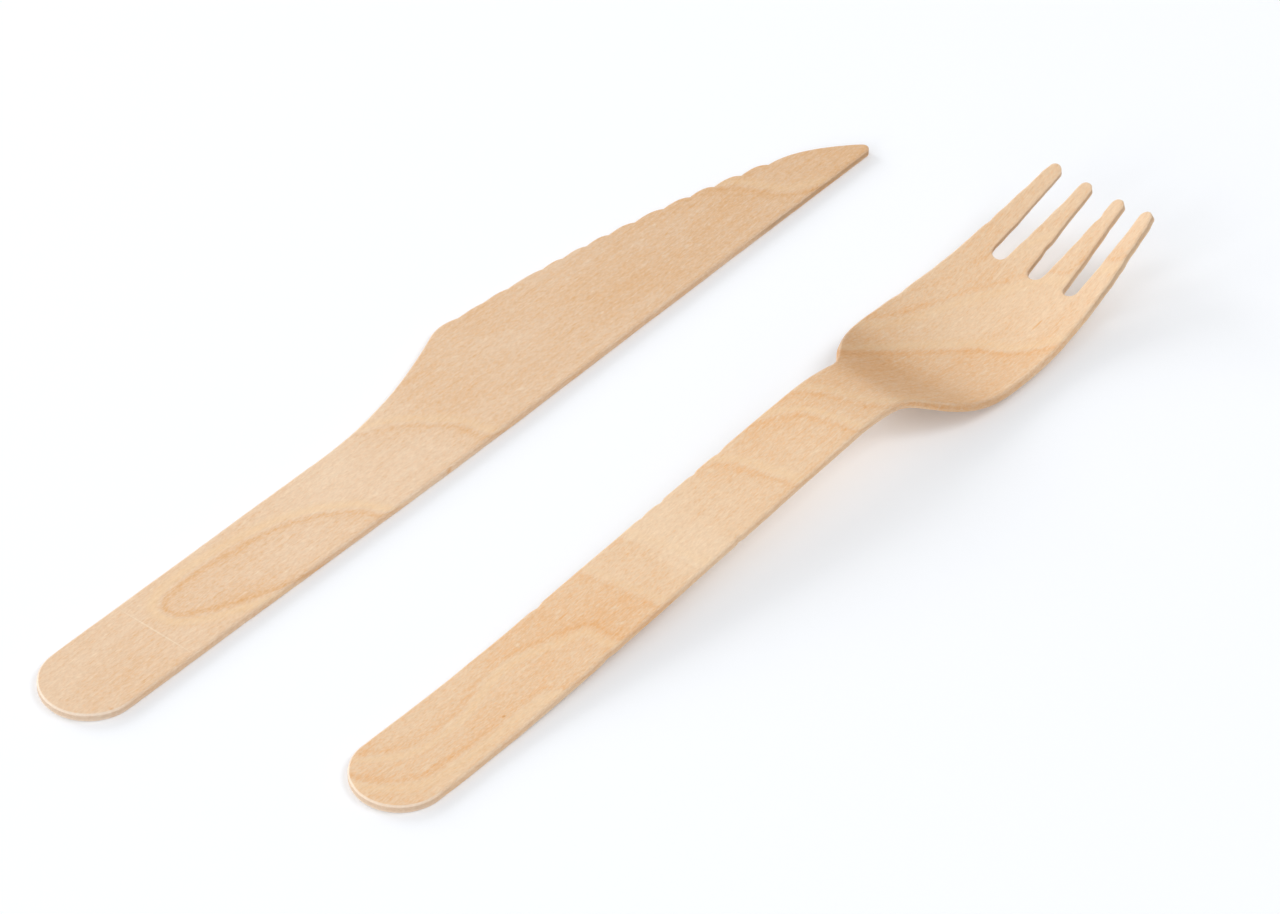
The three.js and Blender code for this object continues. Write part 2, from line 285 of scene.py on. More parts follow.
def middle_height(x, y):
    """Height of the fork's middle layer anywhere: the dish is deepest on the centre line."""
    height = np.interp(y, FORK_PROFILE[:, 0], FORK_PROFILE[:, 1])
    share = np.clip((y - FORK_HANDLE_LENGTH + DISH_LEAD) / DISH_RUN, 0, 1)
    dish = DISH_DEPTH * share * share * (3 - 2 * share)
    return height - dish * (1 - (x / half_width(y)) ** 2)


def slope(ahead, behind):
    return (ahead - behind) / (2 * SLOPE_SPAN)


def press_fork(blank):
    """Points of the flat blank (x, y, lift), pressed into the fork's shape."""
    x, y, lift = blank.T
    slope_x = slope(middle_height(x + SLOPE_SPAN, y), middle_height(x - SLOPE_SPAN, y))
    slope_y = slope(middle_height(x, y + SLOPE_SPAN), middle_height(x, y - SLOPE_SPAN))
    up = np.stack([-slope_x, -slope_y, np.ones_like(x)], 1)
    up /= np.linalg.norm(up, axis=1)[:, None]
    return np.stack([x, y, middle_height(x, y)], 1) + up * lift[:, None]


# Laying the pieces on the table
def knife_corner():
    """Where the line of the knife's back meets the handle's end, in millimetres."""
    low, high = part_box("knife")
    return np.array([high[0], low[1], 0]) / MM


def lay_knife(blank):
    return blank + (0, 0, HALF_SHEET) + knife_corner()


def lay_fork(blank):
    cos = math.cos(math.radians(FORK_TURN))
    sin = math.sin(math.radians(FORK_TURN))
    turn = np.array([[cos, sin, 0], [-sin, cos, 0], [0, 0, 1]])
    return press_fork(blank) @ turn + (knife_corner() + (FORK_ASIDE, FORK_AHEAD, 0))


# Uneven stamping, as distances outwards: how far each handle's left side stands out and where that
# ends, how far the knife's back bows along its length, and the bulge on it
SIDE_FOCUS = 4
SIDE_FADE = 20
KNIFE_SIDE_OUT = 0.12
KNIFE_SIDE_END = 70
FORK_SIDE_OUT = 0.14
FORK_SIDE_END = 100
BACK_BOW = 0.26
BACK_BULGE = 0.38
BACK_BULGE_AT = 74
BACK_BULGE_REACH = 36

# The finer waves of the outlines: depth, waves a millimetre and seed
KNIFE_SLOW_WAVES = (0.12, 0.12, 3.1)
KNIFE_QUICK_WAVES = (0.07, 0.55, 7.7)
FORK_SLOW_WAVES = (0.1, 0.12, 13.1)
FORK_QUICK_WAVES = (0.06, 0.42, 17.7)

# The tines are rougher by this much, from here on and up to their smooth round tips
TINE_ROUGHNESS = 0.16
TINES_FROM = 128
TINES_FADE = 10
TIP_CLEAR = 1
TIP_FADE = 3

# Nicks in the fork's edges: place, reach and depth
FORK_NICKS = [
    ((-6.7, 41.8), 0.8, 0.26),
    ((-6.6, 63.2), 0.6, 0.16),
    ((-6.6, 67), 0.6, 0.24),
    ((-6.6, 73.8), 0.6, 0.24),
    ((-6.6, 79.2), 0.9, 0.24),
    ((6.7, 41.2), 0.9, 0.2),
    ((6.6, 68.5), 0.5, 0.22),
    ((-10.7, 144.3), 0.7, 0.2),
    ((-1.0, 145.9), 0.8, 0.2),
    ((1.7, 153.5), 0.7, 0.22),
    ((10.2, 149), 1.0, 0.15),
    ((-12.6, 126), 1.4, 0.15),
]


def wander(x, y, depth, waves, seed):
    """Noise from 0 to its depth inwards."""
    return depth * (0.5 * noise.noise((x * waves, y * waves, seed)) - 0.5)


def nick(x, y, place, reach, depth):
    """A dent at the place, which fades within its reach."""
    return -depth * math.exp(-((x - place[0]) ** 2 + (y - place[1]) ** 2) / reach ** 2)


def left_side(normal, y, end):
    """1 on a handle's left side, fading to 0 before the side's end."""
    return max(0, -normal[0]) ** SIDE_FOCUS * np.clip((end - y) / SIDE_FADE, 0, 1)


def knife_waves(x, y, normal):
    back = max(0, normal[0]) ** SIDE_FOCUS
    bow = BACK_BOW * math.sin(math.pi * np.clip(y / KNIFE_LENGTH, 0, 1))
    bulge = BACK_BULGE * math.exp(-((y - BACK_BULGE_AT) / BACK_BULGE_REACH) ** 2)
    sides = (bow + bulge) * back + KNIFE_SIDE_OUT * left_side(normal, y, KNIFE_SIDE_END)
    return sides + wander(x, y, *KNIFE_SLOW_WAVES) + wander(x, y, *KNIFE_QUICK_WAVES)


def fork_waves(x, y, normal):
    past_head = np.clip((y - TINES_FROM) / TINES_FADE, 0, 1)
    before_tips = np.clip((TIPS_AT - TIP_CLEAR - y) / TIP_FADE, 0, 1)
    depth, waves, seed = FORK_QUICK_WAVES
    depth += TINE_ROUGHNESS * past_head * before_tips
    side = FORK_SIDE_OUT * left_side(normal, y, FORK_SIDE_END)
    waved = side + wander(x, y, *FORK_SLOW_WAVES) + wander(x, y, depth, waves, seed)
    return waved + sum(nick(x, y, *each) for each in FORK_NICKS)


# Turning an outline into a closed sheet with rounded edges
CORNER_LIMIT = 0.75


def ring_normals(ring):
    """Outward normals, longer at corners so that an offset keeps its distance from both sides."""
    ahead = np.roll(ring, -1, 0) - ring
    ahead = np.stack([ahead[:, 1], -ahead[:, 0]], 1)
    ahead /= np.hypot(*ahead.T)[:, None]
    behind = np.roll(ahead, 1, 0)
    normal = ahead + behind
    normal /= np.hypot(*normal.T)[:, None]
    return normal / np.maximum(CORNER_LIMIT, (normal * ahead).sum(1))[:, None]


def inside(points, ring):
    """Which points lie inside the ring, by the crossings of a ray."""
    result = np.zeros(len(points), bool)
    for a, b in zip(ring, np.roll(ring, -1, 0)):
        crosses = (a[1] > points[:, 1]) != (b[1] > points[:, 1])
        with np.errstate(divide="ignore", invalid="ignore"):
            at = (b[0] - a[0]) * (points[:, 1] - a[1]) / (b[1] - a[1]) + a[0]
        result ^= crosses & (points[:, 0] < at)
    return result


def inner_points(ring, step):
    """A triangular grid of points inside the ring and clear of it."""
    low, high = ring.min(0), ring.max(0)
    rows = np.arange(low[1], high[1], step * math.sqrt(0.75))
    columns = np.arange(low[0], high[0], step)
    grid = np.array([(x + (i % 2) * step / 2, y) for i, y in enumerate(rows) for x in columns])
    grid = grid[inside(grid, ring)]
    tree = kdtree.KDTree(len(ring))
    for i, (x, y) in enumerate(ring):
        tree.insert((x, y, 0), i)
    tree.balance()
    return np.array([p for p in grid if tree.find((p[0], p[1], 0))[2] > step * CLEAR_OF_RIM])


def flat_face(ring, step):
    """Points and triangles over the ring's inside. The ring's points come first, in order."""
    points = np.vstack([ring, inner_points(ring, step)])
    count = len(ring)
    edges = [(i, (i + 1) % count) for i in range(count)]
    made = delaunay_2d_cdt([Vector(p) for p in points], edges, [], 0, SAME_POINT, True)
    new_of = {old: new for new, olds in enumerate(made[3]) for old in olds}
    old_of = {new_of[old]: old for old in range(len(points))}
    triangles = np.array([[old_of[v] for v in face] for face in made[2]])
    return points, triangles[inside(points[triangles].mean(1), ring)].tolist()


def rounding(radius):
    """Steps over a rounded edge: (distance inwards from the outline, depth under the face)."""
    turns = np.linspace(0, math.pi / 2, ROUND_STEPS + 1)
    return [(radius * (1 - math.sin(turn)), radius * (1 - math.cos(turn))) for turn in turns]


def rim_profile():
    """Steps from the top face over the edge, down the wall and under: (distance inwards, lift)."""
    top = [(inwards, HALF_SHEET - depth) for inwards, depth in rounding(TOP_ROUND)]
    bottom = [(inwards, depth - HALF_SHEET) for inwards, depth in rounding(BOTTOM_ROUND)]
    levels = np.linspace(top[-1][1], bottom[-1][1], WALL_STEPS + 1)[1:-1]
    return top + [(0, level) for level in levels] + bottom[::-1]


# Torn fibres of the cut walls: how far in they stand, and the coarse and fine change of that, as
# depth, waves a millimetre along the wall and waves down it
TEAR = 0.05
COARSE_TEARS = (0.028, 0.9, 0.6)
FINE_TEARS = (0.022, 2.6, 2.2)


def tears(x, y, lift, seed, depth, waves, waves_down):
    return depth * noise.noise((x * waves, y * waves, lift * waves_down + seed))


def torn_wall(x, y, lift, seed):
    """How far in from the outline the wall stands at a place."""
    return TEAR - tears(x, y, lift, seed, *COARSE_TEARS) - tears(x, y, lift, seed, *FINE_TEARS)


def bridge(upper, lower):
    """The quads between two rings of points."""
    return [list(quad) for quad in zip(upper, lower, lower[1:] + lower[:1], upper[1:] + upper[:1])]


def closed_sheet(outline, seed):
    """Points (x, y, lift) and faces of a flat sheet with this outline."""
    normals = ring_normals(outline)
    ring = outline - normals * TOP_ROUND
    face, triangles = flat_face(ring, GRID_STEP)
    rim = len(ring)
    count = len(face)
    underside = np.vstack([outline - normals * BOTTOM_ROUND, face[rim:]])
    points = [np.column_stack([face, np.full(count, HALF_SHEET)]),
              np.column_stack([underside, np.full(count, -HALF_SHEET)])]
    faces = triangles + [[v + count for v in reversed(t)] for t in triangles]
    rings = [list(range(rim))]
    made = 2 * count
    for inwards, lift in rim_profile()[1:-1]:
        tear = np.array([torn_wall(x, y, lift, seed) for x, y in ring])
        flat = outline - normals * np.maximum(inwards, tear)[:, None]
        points.append(np.column_stack([flat, np.full(rim, lift)]))
        rings.append(list(range(made, made + rim)))
        made += rim
    rings.append(list(range(count, count + rim)))
    for upper, lower in zip(rings, rings[1:]):
        faces += bridge(upper, lower)
    return np.vstack(points), faces


def build_sheet(name, curves, waves, lay, seed):
    """The sheet cut along the curves and laid in place, and the points of its blank."""
    outline = np.vstack([spaced(curve, OUTLINE_STEP) for curve in curves])
    normals = ring_normals(outline)
    outwards = np.array([waves(x, y, normal) for (x, y), normal in zip(outline, normals)])
    blank, faces = closed_sheet(outline + normals * outwards[:, None], seed)
    mesh = bpy.data.meshes.new(name)
    mesh.from_pydata((lay(blank) * MM).tolist(), [], faces)
    mesh.shade_smooth()
    piece = bpy.data.objects.new(name, mesh)
    bpy.context.collection.objects.link(piece)
    return piece, blank


# Growth lines, each through a few points (x, y) of the blank. Then come its strength, how far its
# dark side fades, and which side that is: 1 to the left of the line's way, -1 to the right
KNIFE_LINES = [
    (((0.5, 40.5), (-1, 35.6), (-2.9, 31.2), (-5.1, 26.9), (-7.2, 24.4), (-9.2, 24), (-10.5, 25.6),
      (-11.1, 30), (-10.8, 36.2), (-9.8, 42.5), (-8.2, 48.1), (-5.8, 52.5), (-3.2, 55.6), (0.5, 57.6)),
     1.0, 3.0, -1),
    (((-15, 67), (-13.6, 68), (-11.4, 71.9), (-8.5, 75), (-5.5, 77.5), (-3.2, 78.5), (0.5, 79.2)),
     0.75, 5.0, -1),
    (((-11.5, 142), (-10.5, 143), (-8.5, 145), (-5.8, 146.2), (-2.6, 148), (-0.8, 150.6), (0.5, 153)),
     0.7, 6.0, -1),
]
FORK_LINES = [
    (((-6, 1), (-3, 2.5), (0.1, 4.4), (2.6, 7.5), (3.5, 12.5), (3.6, 18.8), (3.6, 25), (4, 30),
      (5.4, 32.2), (7.5, 33.4)), 0.7, 4.0, 1),
    (((-6, 6), (-2.5, 11), (-1.8, 15), (-1.9, 20), (-3.5, 26), (-4, 30), (-3.4, 34), (-1, 40),
      (0.8, 43.5), (4, 44), (7.5, 44.5)), 0.75, 5.0, 1),
    (((-7.5, 49.4), (-3, 50.4), (0.8, 50.6), (7.5, 52)), 0.45, 9.0, -1),
    (((-7.5, 57.4), (-3, 59.2), (2, 60), (7.5, 60.6)), 0.4, 3.0, -1),
    (((-7.5, 75), (-3, 78.1), (0.8, 79.4), (5.1, 80.2), (7.5, 80.7)), 0.75, 4.0, -1),
    (((-7.5, 85.5), (-5.8, 86.9), (-3, 90.6), (0.8, 92.5), (7.5, 94)), 0.75, 4.0, -1),
    (((-7.5, 92.5), (-5.5, 94.4), (-1.8, 96.9), (2, 98.1), (5.1, 100), (8, 104.5)), 0.6, 4.0, -1),
    (((-9.5, 104), (-7.6, 108.8), (-6.4, 113.1), (-3.6, 117.5), (0.1, 121.9), (3.9, 125),
      (8.2, 126.9), (13, 131.5)), 0.8, 5.0, -1),
    (((-13, 118), (-11.1, 120.6), (-9.2, 125), (-7.4, 130), (-4.9, 134.4), (-2, 138.8),
      (0.8, 142.5), (4.2, 143.9), (5, 149)), 0.6, 5.0, 1),
    (((-11, 128), (-8, 138), (-5, 146), (-2.4, 150.5), (-1, 156)), 0.5, 4.0, 1),
    (((6, 147), (8.2, 148), (10.1, 148.8), (11, 149.5)), 0.8, 5.0, 1),
]
LINE_STEPS = 12

# A line's dark core, its fading side and the golden band along its other side
LINE_WIDTH = 0.5
LINE_SOFTNESS = 0.25
HALO_AT = 1.5
HALO_WIDTH = 0.9
CORE_WEIGHT = 0.58
TRAIL_WEIGHT = 0.34
HALO_WEIGHT = 0.2

# The rings run slantwise through the sheet: so far along for each millimetre of depth
TILT = 4.5

# How the lines waver along the grain: reach, and waves a millimetre across and along
LINE_WAVERS = [(0.3, 0.25, 0.12), (0.22, 0.9, 0.35)]


def waver(x, y, seed):
    return sum(reach * noise.noise((x * across, y * along, seed))
               for reach, across, along in LINE_WAVERS)


def through(points):
    """A smooth curve through the points."""
    before = 2 * np.array(points[0]) - points[1]
    after = 2 * np.array(points[-1]) - points[-2]
    points = np.array([before, *points, after], float)
    share = np.linspace(0, 1, LINE_STEPS, endpoint=False)[:, None]
    rows = []
    for a, b, c, d in zip(points, points[1:], points[2:], points[3:]):
        square = 2 * a - 5 * b + 4 * c - d
        cube = 3 * b - a - 3 * c + d
        rows.append(0.5 * (2 * b + (c - a) * share + square * share ** 2 + cube * share ** 3))
    return np.vstack(rows + [points[-2:-1]])


def signed_distance(where, curve):
    """How far each place lies from the curve, below 0 to the right of its way."""
    nearest = np.full(len(where), np.inf)
    signed = np.zeros(len(where))
    for a, b in zip(curve, curve[1:]):
        along = b - a
        share = np.clip(((where - a) @ along) / (along @ along), 0, 1)
        gap = where - (a + share[:, None] * along)
        distance = np.hypot(*gap.T)
        side = np.sign(along[0] * gap[:, 1] - along[1] * gap[:, 0])
        closer = distance < nearest
        nearest[closer] = distance[closer]
        signed[closer] = (distance * side)[closer]
    return signed


def figure(blank, lines, seed):
    """How dark the growth lines make each point, up to about 1, and below 0 on their golden side."""
    where = blank[:, :2].copy()
    where[:, 1] += (blank[:, 2] - HALF_SHEET) * TILT
    where[:, 1] += [waver(x, y, seed) for x, y in where]
    result = np.zeros(len(blank))
    for points, strength, fade, side in lines:
        beyond = side * signed_distance(where, through(points))
        core = np.exp(-(beyond / LINE_WIDTH) ** 2)
        trail = np.exp(-np.maximum(beyond, 0) / fade) / (1 + np.exp(-beyond / LINE_SOFTNESS))
        halo = np.exp(-((beyond + HALO_AT) / HALO_WIDTH) ** 2)
        line = strength * (CORE_WEIGHT * core + TRAIL_WEIGHT * trail - HALO_WEIGHT * halo)
        result = np.where(np.abs(line) > np.abs(result), line, result)
    return result


# Materials
SPOT_CORE = 0.2
ALBEDO = 0.9


class Tree:
    """A short way to write a material's nodes."""

    def __init__(self, material):
        material.use_nodes = True
        self.nodes = material.node_tree.nodes
        self.links = material.node_tree.links
        self.shader = self.nodes["Principled BSDF"]

    def add(self, kind, settings=(), **inputs):
        made = self.nodes.new("ShaderNode" + kind)
        for key, value in dict(settings).items():
            setattr(made, key, value)
        for key, value in inputs.items():
            self.join(value, made.inputs[key])
        return made

    def join(self, value, socket):
        if isinstance(value, bpy.types.NodeSocket):
            self.links.new(value, socket)
        else:
            socket.default_value = value

    def join_all(self, values, sockets):
        for value, socket in zip(values, sockets):
            self.join(value, socket)

    def math(self, operation, *values, clamp=False):
        made = self.add("Math", {"operation": operation, "use_clamp": clamp})
        self.join_all(values, made.inputs)
        return made.outputs[0]

    def vector(self, operation, *values, output="Vector"):
        made = self.add("VectorMath", {"operation": operation})
        self.join_all(values, made.inputs)
        return made.outputs[output]

    def mix(self, share, first, second, blend="MIX"):
        made = self.add("Mix", {"data_type": "RGBA", "blend_type": blend})
        self.join_all((share, first, second), (made.inputs[0], made.inputs[6], made.inputs[7]))
        return made.outputs[2]

    def attribute(self, name, output="Fac"):
        """What the mesh stores at each of its points."""
        return self.add("Attribute", {"attribute_name": name}).outputs[output]

    def noise(self, where, waves, detail, roughness):
        """Noise of about 0 to 1, with so many waves a millimetre across, along and through."""
        scaled = self.vector("MULTIPLY", where, waves)
        made = self.add("TexNoise", Vector=scaled, Scale=1.0, Detail=detail, Roughness=roughness)
        return made.outputs[0]

    def ramp(self, value, stops, smooth=False):
        made = self.add("ValToRGB", Fac=value)
        ramp = made.color_ramp
        if smooth:
            ramp.interpolation = "EASE"
        while len(ramp.elements) < len(stops):
            ramp.elements.new(0.5)
        for element, (position, colour) in zip(ramp.elements, stops):
            element.position = position
            element.color = colour
        return made.outputs[0]

    def spot(self, where, centre, reach):
        """1 at a point of the blank, falling to 0 at its reach (across, along)."""
        apart = self.vector("SUBTRACT", where, (*centre, 0))
        scaled = self.vector("MULTIPLY", apart, (1 / reach[0], 1 / reach[1], 0))
        distance = self.vector("LENGTH", scaled, output="Value")
        return self.ramp(distance, [(SPOT_CORE, grey(1)), (1.0, grey(0))], smooth=True)


def grey(value):
    return (value, value, value, 1)


def from_screen(part):
    """One part of a colour of the screen, from 0 to 255, as an amount of light: the sRGB curve."""
    part = part / 255
    return part / 12.92 if part < 0.04045 else ((part + 0.055) / 1.055) ** 2.4


def linear(red, green, blue, albedo=ALBEDO):
    """A colour as it should show on the screen, as the share of light that the surface returns."""
    return (*(albedo * from_screen(part) for part in (red, green, blue)), 1)


# Each piece's pale, middle and dark wood, and the colours that both share
KNIFE_COLOURS = [linear(248, 225, 196), linear(237, 204, 170), linear(228, 175, 117)]
FORK_COLOURS = [linear(250, 224, 192), linear(239, 205, 168), linear(234, 176, 116)]
BARK = linear(128, 78, 44)
GOLD = linear(244, 209, 164)
# Paler colour for rubbed rims, which also serves as a painted sheen on the rims and the handles' round
# ends
RUBBED_AND_SHEEN = linear(252, 238, 222)
WALL_SHADE = linear(238, 228, 222, albedo=1)

# How the colour drifts from the handle's end to the tip: (distance along, how much darker and warmer)
KNIFE_TONES = [(0, 0.03), (22, 0), (24, 0.02), (56, -0.04), (60, -0.1), (74, -0.04), (80, 0.1),
               (98, 0.14), (120, 0.14), (143, 0.16), (165, 0.24)]
# On the fork, the darker and warmer band from 101 to 118 is partly painted shade of the head's slope
# and partly the bent wood's own colour
FORK_TONES_AND_SHADE = [(0, 0.12), (12, 0.04), (28, 0.02), (43, 0.16), (50, 0.14), (52, 0.04), (58, 0.03),
              (59.5, -0.12), (66, -0.12), (68.5, -0.04), (78, 0), (92, 0.05), (101, 0.12), (105, 0.3),
              (112, 0.28), (118, 0.14), (126, 0.04), (140, 0), (157, -0.04)]

# How light the wood is on the way: (distance along, share). The knife's darkening from 80 towards its
# point and the fork's darker band over the neck and the head's slope, from 88 to 132, are partly
# painted shade and partly the wood's own tone
KNIFE_LIGHTNESS_AND_SHADE = [(0, 0.995), (20, 1.01), (60, 1.02), (80, 0.995), (90, 0.98), (110, 0.97),
                   (125, 0.95), (143, 0.94), (165, 0.94)]
FORK_LIGHTNESS_AND_SHADE = [(0, 1), (88, 1), (94, 0.98), (102, 0.94), (105, 0.84), (112, 0.83), (118, 0.93),
                  (126, 0.985), (132, 1)]

# Small marks: place on the blank, reach across and along, and how dark (below 0: pale)
KNIFE_MARKS = [
    ((-7, 19.93), (9.5, 0.2), -0.34),
    ((-0.8, 4.8), (0.9, 0.5), 0.25),
    ((0.75, 71), (0.4, 1.0), 0.9),
]
FORK_MARKS = [
    ((3.5, 23.7), (0.32, 0.4), 0.5),
    ((6.7, 133.7), (0.26, 1.8), 0.55),
]

# The wood's patterns: waves a millimetre (across, along, through), detail and roughness of the noise
FIBRE = ((5.2, 1.5, 5.2), 4.0, 0.66)
STRAND = ((2.6, 0.1, 2.6), 3.0, 0.6)
MOTTLE = ((1.1, 0.6, 1.1), 3.0, 0.6)
CLOUD = ((0.12, 0.045, 0.3), 2.0, 0.5)
PORES = ((2.6, 0.55, 2.6), 1.0, 0.5)
GRAIN = ((4.2, 1.3, 4.2), 3.0, 0.62)
LAYERS = ((1.6, 0.9, 6.0), 4.0, 0.65)

# Where in the wood each piece was cut from, so that they differ
KNIFE_CUT_AT = (3, 40, 5)
FORK_CUT_AT = (71, 13, 25)

# How much the patterns change the depth of colour, where 0 is pale, 0.5 middle, 1 dark and 2 bark
MIDDLE_DEPTH = 0.5
FIBRE_WEIGHT = 0.86
STRAND_WEIGHT = 0.4
MOTTLE_WEIGHT = 0.4
CLOUD_WEIGHT = 0.42
LINE_WEIGHT = 0.36
LINE_BREAKS = 1.3
LINE_LEAST = 0.35
FLECKS = (0.66, 0.78)
FLECK_WEIGHT = 0.16
GLINTS = (0.22, 0.36)
GLINT_WEIGHT = 0.2
GOLD_STRENGTH = 2.6
GRAIN_WEIGHT = 0.25
WALL_STREAKS = 1.2
WALL_STREAKS_FROM = 0.2
WALL_STRENGTH = 0.8

# Gloss and relief
ROUGHNESS = 0.5
STRAND_ROUGHNESS = 0.16
RIM_POLISH = 0.16
WALL_ROUGHNESS = 0.12
GLOSS = 0.5
WALL_RELIEF = 1.5
STRAND_RELIEF = 0.6
RELIEF_STRENGTH = 0.5
RELIEF_DEPTH = 0.04


def colour_depth(tree, where, fibre, strand):
    """Fibres, strands, mottling, clouds, growth lines, dark flecks and pale glints, added up."""
    mottle = tree.noise(where, *MOTTLE)
    cloud = tree.noise(where, *CLOUD)
    pores = tree.noise(where, *PORES)
    depth = tree.math("MULTIPLY_ADD", fibre, FIBRE_WEIGHT, MIDDLE_DEPTH - FIBRE_WEIGHT / 2)
    for pattern, weight in ((strand, STRAND_WEIGHT), (mottle, MOTTLE_WEIGHT), (cloud, CLOUD_WEIGHT)):
        depth = tree.math("ADD", depth, tree.math("MULTIPLY_ADD", pattern, weight, -weight / 2))
    broken = tree.math("MULTIPLY_ADD", fibre, LINE_BREAKS, LINE_LEAST)
    dark_lines = tree.math("MULTIPLY", tree.math("MAXIMUM", tree.attribute("figure"), 0.0), broken)
    depth = tree.math("MULTIPLY_ADD", dark_lines, LINE_WEIGHT, depth)
    # The drift adds each piece's tone along its length, and painted shade on the fork's head slope
    depth = tree.math("ADD", depth, tree.attribute("drift_and_shade"))
    fleck = tree.ramp(pores, [(FLECKS[0], grey(0)), (FLECKS[1], grey(1))], smooth=True)
    depth = tree.math("ADD", depth, tree.math("MULTIPLY", fleck, FLECK_WEIGHT))
    glint = tree.ramp(pores, [(GLINTS[0], grey(1)), (GLINTS[1], grey(0))], smooth=True)
    return tree.math("SUBTRACT", depth, tree.math("MULTIPLY", glint, GLINT_WEIGHT))


def wood_colour(tree, depth, colours):
    """The colour of each depth, halved for the ramp, and a golden band beside the growth lines."""
    pale, middle, dark = colours
    stops = [(0.0, pale), (0.25, middle), (0.5, dark), (1.0, BARK)]
    colour = tree.ramp(tree.math("MULTIPLY", depth, 0.5), stops)
    golden = tree.math("MULTIPLY", tree.attribute("figure"), -GOLD_STRENGTH, clamp=True)
    return tree.mix(golden, colour, GOLD)


def wear_sheen_grain_and_shade(tree, where, colour):
    """Rubbed rims are paler, partly as a painted sheen that is strongest at the handles' round ends,
    short fibres catch the light unevenly, and the lightness darkens parts of the pieces, partly as
    painted shade.
    """
    grain = tree.math("MULTIPLY_ADD", tree.noise(where, *GRAIN), GRAIN_WEIGHT, 1 - GRAIN_WEIGHT / 2)
    light = tree.math("MULTIPLY", grain, tree.attribute("lightness_and_shade"))
    paler = tree.mix(tree.attribute("rubbed_and_sheen"), colour, RUBBED_AND_SHEEN)
    return tree.mix(1.0, paler, light, "MULTIPLY")


def cut_walls(tree, layers, colour):
    """The cut walls show end and side grain: darker, streaked through the sheet's layers."""
    streaks = tree.math("MULTIPLY_ADD", layers, WALL_STREAKS, WALL_STREAKS_FROM)
    shade = tree.ramp(streaks, [(0.5, WALL_SHADE), (1.0, grey(1))])
    share = tree.math("MULTIPLY", tree.attribute("wall"), WALL_STRENGTH)
    return tree.mix(share, colour, shade, "MULTIPLY")


def gloss_and_relief(tree, fibre, strand, layers):
    """Matt wood with shallow fibres, smoother over the rims and rougher on the walls."""
    wall = tree.attribute("wall")
    rough = tree.math("MULTIPLY_ADD", strand, STRAND_ROUGHNESS, ROUGHNESS)
    rough = tree.math("MULTIPLY_ADD", tree.attribute("rim"), -RIM_POLISH, rough)
    rough = tree.math("MULTIPLY_ADD", wall, WALL_ROUGHNESS, rough)
    tree.join(rough, tree.shader.inputs["Roughness"])
    tree.join(GLOSS, tree.shader.inputs["Specular IOR Level"])
    height = tree.math("MULTIPLY_ADD", tree.math("MULTIPLY", layers, wall), WALL_RELIEF, fibre)
    height = tree.math("ADD", height, tree.math("MULTIPLY", strand, STRAND_RELIEF))
    bump = tree.add("Bump", Strength=RELIEF_STRENGTH, Distance=RELIEF_DEPTH * MM, Height=height)
    tree.join(bump.outputs[0], tree.shader.inputs["Normal"])


def birch(name, colours, cut_at, marks):
    """Bare birch: fine fibres along y, soft flecks, growth lines, and torn darker walls."""
    material = bpy.data.materials.new(name)
    tree = Tree(material)
    blank = tree.attribute("blank", "Vector")
    where = tree.vector("ADD", blank, cut_at)
    fibre = tree.noise(where, *FIBRE)
    strand = tree.noise(where, *STRAND)
    layers = tree.noise(where, *LAYERS)
    depth = colour_depth(tree, where, fibre, strand)
    for centre, reach, strength in marks:
        depth = tree.math("MULTIPLY_ADD", tree.spot(blank, centre, reach), strength, depth)
    colour = wood_colour(tree, depth, colours)
    colour = wear_sheen_grain_and_shade(tree, where, colour)
    colour = cut_walls(tree, layers, colour)
    tree.join(colour, tree.shader.inputs["Base Color"])
    gloss_and_relief(tree, fibre, strand, layers)
    return material


# The handles' ends are rubbed pale up to here, which also paints a sheen on them, and the cut walls
# are darker there and, as painted shade, near the tips
END_WEAR_LENGTH = 9
END_WEAR_FADE = 5
# How pale the rims grow, all round and more at the ends and on the ends' walls: rubbed wood and a
# painted sheen
RIM_WEAR_AND_SHEEN = 0.06
END_RIM_WEAR_AND_SHEEN = 0.5
END_WALL_WEAR_AND_SHEEN = 0.35
END_WALL_DARKNESS = 0.14
TIP_WALLS_FROM = 136
TIP_WALLS_FADE = 6
# Painted shade on the cut walls near the tips
TIP_WALL_PAINTED_SHADE = 0.22


def put(piece, name, values):
    """Stores one number or vector for each point of the mesh, for the material to read."""
    kind, key = ("FLOAT", "value") if values.ndim == 1 else ("FLOAT_VECTOR", "vector")
    layer = piece.data.attributes.new(name, kind, "POINT")
    layer.data.foreach_set(key, values.astype(np.float32).ravel())


